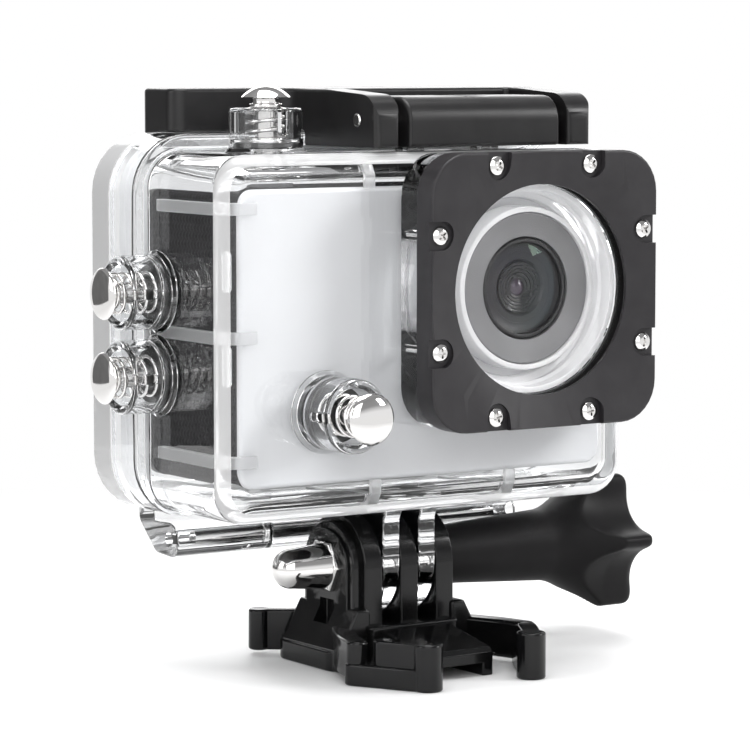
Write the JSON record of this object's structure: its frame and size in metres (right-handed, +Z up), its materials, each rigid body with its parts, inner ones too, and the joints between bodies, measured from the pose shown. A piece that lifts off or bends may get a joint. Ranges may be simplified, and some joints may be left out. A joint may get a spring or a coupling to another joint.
{
  "type": "action camera",
  "caption": "Action camera in a clear dive housing with a hinged, latched back door and push-rod buttons, tilting on a quick-release buckle.",
  "frame": {"origin": "on the underside of the buckle, straight below the middle of the tilt bolt", "axes": "+Z up, the lens looks along -Y, +X to the right seen from the front"},
  "size_m": [0.0863, 0.0496, 0.0829],
  "materials": {
    "gloss_black": "glossy moulded",
    "satin_black": "fine satin",
    "steel": "polished",
    "clear": "clear polycarbonate",
    "white_seal": "silicone",
    "black_seal": "nitrile",
    "silver_plate": "satin silver",
    "grip_black": "knit texture",
    "grey_ring": "bead blasted",
    "lens_black": "black",
    "lens_glass": "coated",
    "screen": "glass over panel",
    "board": "solder mask",
    "cell": "wrapped cell",
    "lamp": "light pipe"
  },
  "bodies": {
    "buckle": {"buckle_base": "gloss_black", "cap_nut": "steel"},
    "thumb_screw": {"thumb_screw_knob": "satin_black", "tilt_bolt": "steel"},
    "housing": {"front_shell": "clear", "hinge_pin": "steel", "door_seal": "white_seal", "lens_window": "clear", "window_seal": "black_seal", "bezel": "satin_black", "bezel_screws": "steel", "shutter_spring": "steel", "power_spring": "steel", "up_spring": "steel", "down_spring": "steel", "shutter_seal": "black_seal", "power_seal": "black_seal", "up_seal": "black_seal", "down_seal": "black_seal", "camera_front_plate": "silver_plate", "camera_side_band": "grip_black", "camera_back_cover": "satin_black", "camera_case_screws": "steel", "screen_glass": "screen", "screen_panel": "screen", "lens_ring": "grey_ring", "lens_barrel": "lens_black", "lens_front_glass": "lens_glass", "lens_inner_glass": "lens_glass", "image_sensor": "screen", "sensor_board": "board", "main_board": "board", "port_sockets": "steel", "battery": "cell", "battery_door": "satin_black", "memory_card": "lens_black", "speaker": "grey_ring", "status_lamps": "lamp"},
    "back_door": {"back_door": "clear"},
    "latch_lever": {"latch_lever": "satin_black", "lever_pin": "steel"},
    "latch_frame": {"latch_frame": "satin_black", "frame_pins": "steel"},
    "shutter_button": {"shutter_plunger": "steel", "shutter_clip": "steel"},
    "power_button": {"power_plunger": "steel", "power_clip": "steel"},
    "up_button": {"up_plunger": "steel", "up_clip": "steel"},
    "down_button": {"down_plunger": "steel", "down_clip": "steel"},
    "camera_shutter": {"camera_shutter_button": "grey_ring"},
    "camera_power": {"camera_power_button": "grey_ring"},
    "camera_up": {"camera_up_button": "satin_black"},
    "camera_down": {"camera_down_button": "satin_black"}
  },
  "joints": [
    {"name": "housing_tilt", "type": "hinge", "parent": "buckle", "child": "housing", "pos_m": [0, 0, 0.0143], "axis": [1, 0, 0], "range_deg": [-20, 60]},
    {"name": "thumb_screw_turn", "type": "hinge", "parent": "buckle", "child": "thumb_screw", "pos_m": [0, 0, 0.0143], "axis": [1, 0, 0], "continuous": true},
    {"name": "latch_lever_flip", "type": "hinge", "parent": "housing", "child": "latch_lever", "pos_m": [0.01, -0.0018, 0.0773], "axis": [-1, 0, 0], "range_deg": [0, 100]},
    {"name": "latch_frame_swing", "type": "hinge", "parent": "latch_lever", "child": "latch_frame", "pos_m": [0.01, -0.0072, 0.078], "axis": [1, 0, 0], "range_deg": [0, 185]},
    {"name": "back_door_swing", "type": "hinge", "parent": "housing", "child": "back_door", "pos_m": [0, 0.01, 0.0184], "axis": [-1, 0, 0], "range_deg": [0, 62]},
    {"name": "shutter_push", "type": "slide", "parent": "housing", "child": "shutter_button", "axis": [0, 0, -1], "range_m": [0, 0.0015], "stiffness_N_per_m": 600, "springref_m": -0.001, "deforming": ["shutter_spring"]},
    {"name": "power_push", "type": "slide", "parent": "housing", "child": "power_button", "axis": [0, 1, 0], "range_m": [0, 0.0015], "stiffness_N_per_m": 600, "springref_m": -0.001},
    {"name": "up_push", "type": "slide", "parent": "housing", "child": "up_button", "axis": [1, 0, 0], "range_m": [0, 0.001], "stiffness_N_per_m": 600, "springref_m": -0.001},
    {"name": "down_push", "type": "slide", "parent": "housing", "child": "down_button", "axis": [1, 0, 0], "range_m": [0, 0.001], "stiffness_N_per_m": 600, "springref_m": -0.001},
    {"name": "camera_shutter_press", "type": "slide", "parent": "housing", "child": "camera_shutter", "axis": [0, 0, -1], "range_m": [0, 0.00052]},
    {"name": "camera_power_press", "type": "slide", "parent": "housing", "child": "camera_power", "axis": [0, 1, 0], "range_m": [0, 0.00042]},
    {"name": "camera_up_press", "type": "slide", "parent": "housing", "child": "camera_up", "axis": [1, 0, 0], "range_m": [0, 0.00037]},
    {"name": "camera_down_press", "type": "slide", "parent": "housing", "child": "camera_down", "axis": [1, 0, 0], "range_m": [0, 0.00037]}
  ],
  "couplings": [
    {"joint": "latch_frame_swing", "follows": "latch_lever_flip", "ratio": 1.8},
    {"joint": "back_door_swing", "follows": "latch_lever_flip", "ratio": 0.6},
    {"joint": "camera_shutter_press", "follows": "shutter_push", "ratio": 0.33333},
    {"joint": "camera_power_press", "follows": "power_push", "ratio": 0.26667},
    {"joint": "camera_up_press", "follows": "up_push", "ratio": 0.35},
    {"joint": "camera_down_press", "follows": "down_push", "ratio": 0.35}
  ]
}
